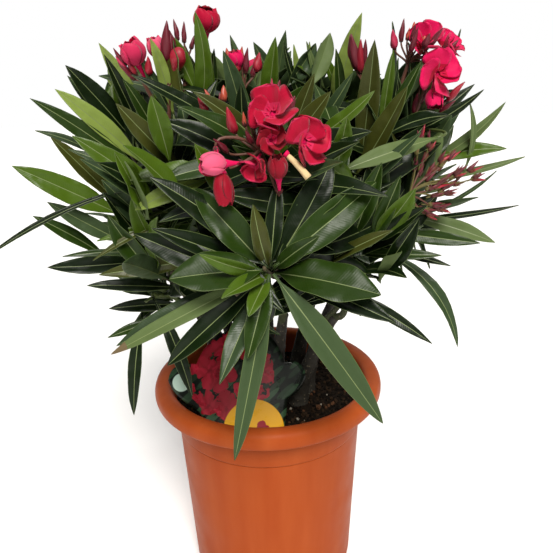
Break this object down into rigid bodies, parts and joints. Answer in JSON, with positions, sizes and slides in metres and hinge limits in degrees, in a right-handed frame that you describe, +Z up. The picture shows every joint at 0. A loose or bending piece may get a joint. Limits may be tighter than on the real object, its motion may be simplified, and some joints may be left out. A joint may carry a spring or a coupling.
{
  "type": "potted oleander",
  "caption": "Bushy flowering oleander with several slender stems and tufts of long narrow leaves, standing in a round rolled-rim plastic pot.",
  "frame": {"origin": "middle of the pot's flat underside", "axes": "+Z up, -Y towards the front with the picture tag, +X to the right seen from the front"},
  "size_m": [0.4479, 0.4343, 0.542],
  "materials": {
    "pot_plastic": "satin moulded polypropylene, terracotta colour",
    "soil": "moist crumbly peat",
    "tag_card": "printed film, semi-gloss",
    "bark": "grey-brown ridged bark",
    "young_bark": "olive green smooth bark",
    "leaf": "leathery, satin"
  },
  "bodies": {
    "root": {"pot": "pot_plastic", "soil": "soil", "picture_tag": "tag_card", "stem_front": "bark", "stem_front_right": "bark", "stem_right": "bark", "stem_back_right": "bark", "stem_back": "bark", "stem_back_left": "bark", "stem_left": "bark", "stem_front_left": "bark", "stem_middle": "bark", "mass_front_rosette": "leaf", "mass_front_drooping_right": "leaf", "mass_front_drooping_middle": "leaf", "mass_middle_front": "leaf", "mass_front_right_low": "leaf", "mass_front_right": "leaf", "mass_right": "leaf", "mass_right_top": "leaf", "mass_back_right_low": "leaf", "mass_back_right": "leaf", "mass_back": "leaf", "mass_back_top": "leaf", "mass_back_left_low": "leaf", "mass_back_left": "leaf", "mass_left": "leaf", "mass_left_top": "leaf", "mass_left_drooping": "leaf", "mass_front_left_low": "leaf", "mass_front_left": "leaf", "mass_top_left": "leaf", "mass_top_right": "leaf", "bough_front_rosette": "young_bark", "bough_middle_front": "young_bark", "bough_front_right_low": "young_bark", "bough_front_right": "young_bark", "bough_right": "young_bark", "bough_right_top": "young_bark", "bough_back_right_low": "young_bark", "bough_back_right": "young_bark", "bough_back": "young_bark", "bough_back_top": "young_bark", "bough_back_left_low": "young_bark", "bough_back_left": "young_bark", "bough_left": "young_bark", "bough_left_top": "young_bark", "bough_left_drooping": "young_bark", "bough_front_left_low": "young_bark", "bough_front_left": "young_bark", "bough_top_left": "young_bark", "bough_top_right": "young_bark"}
  },
  "joints": []
}
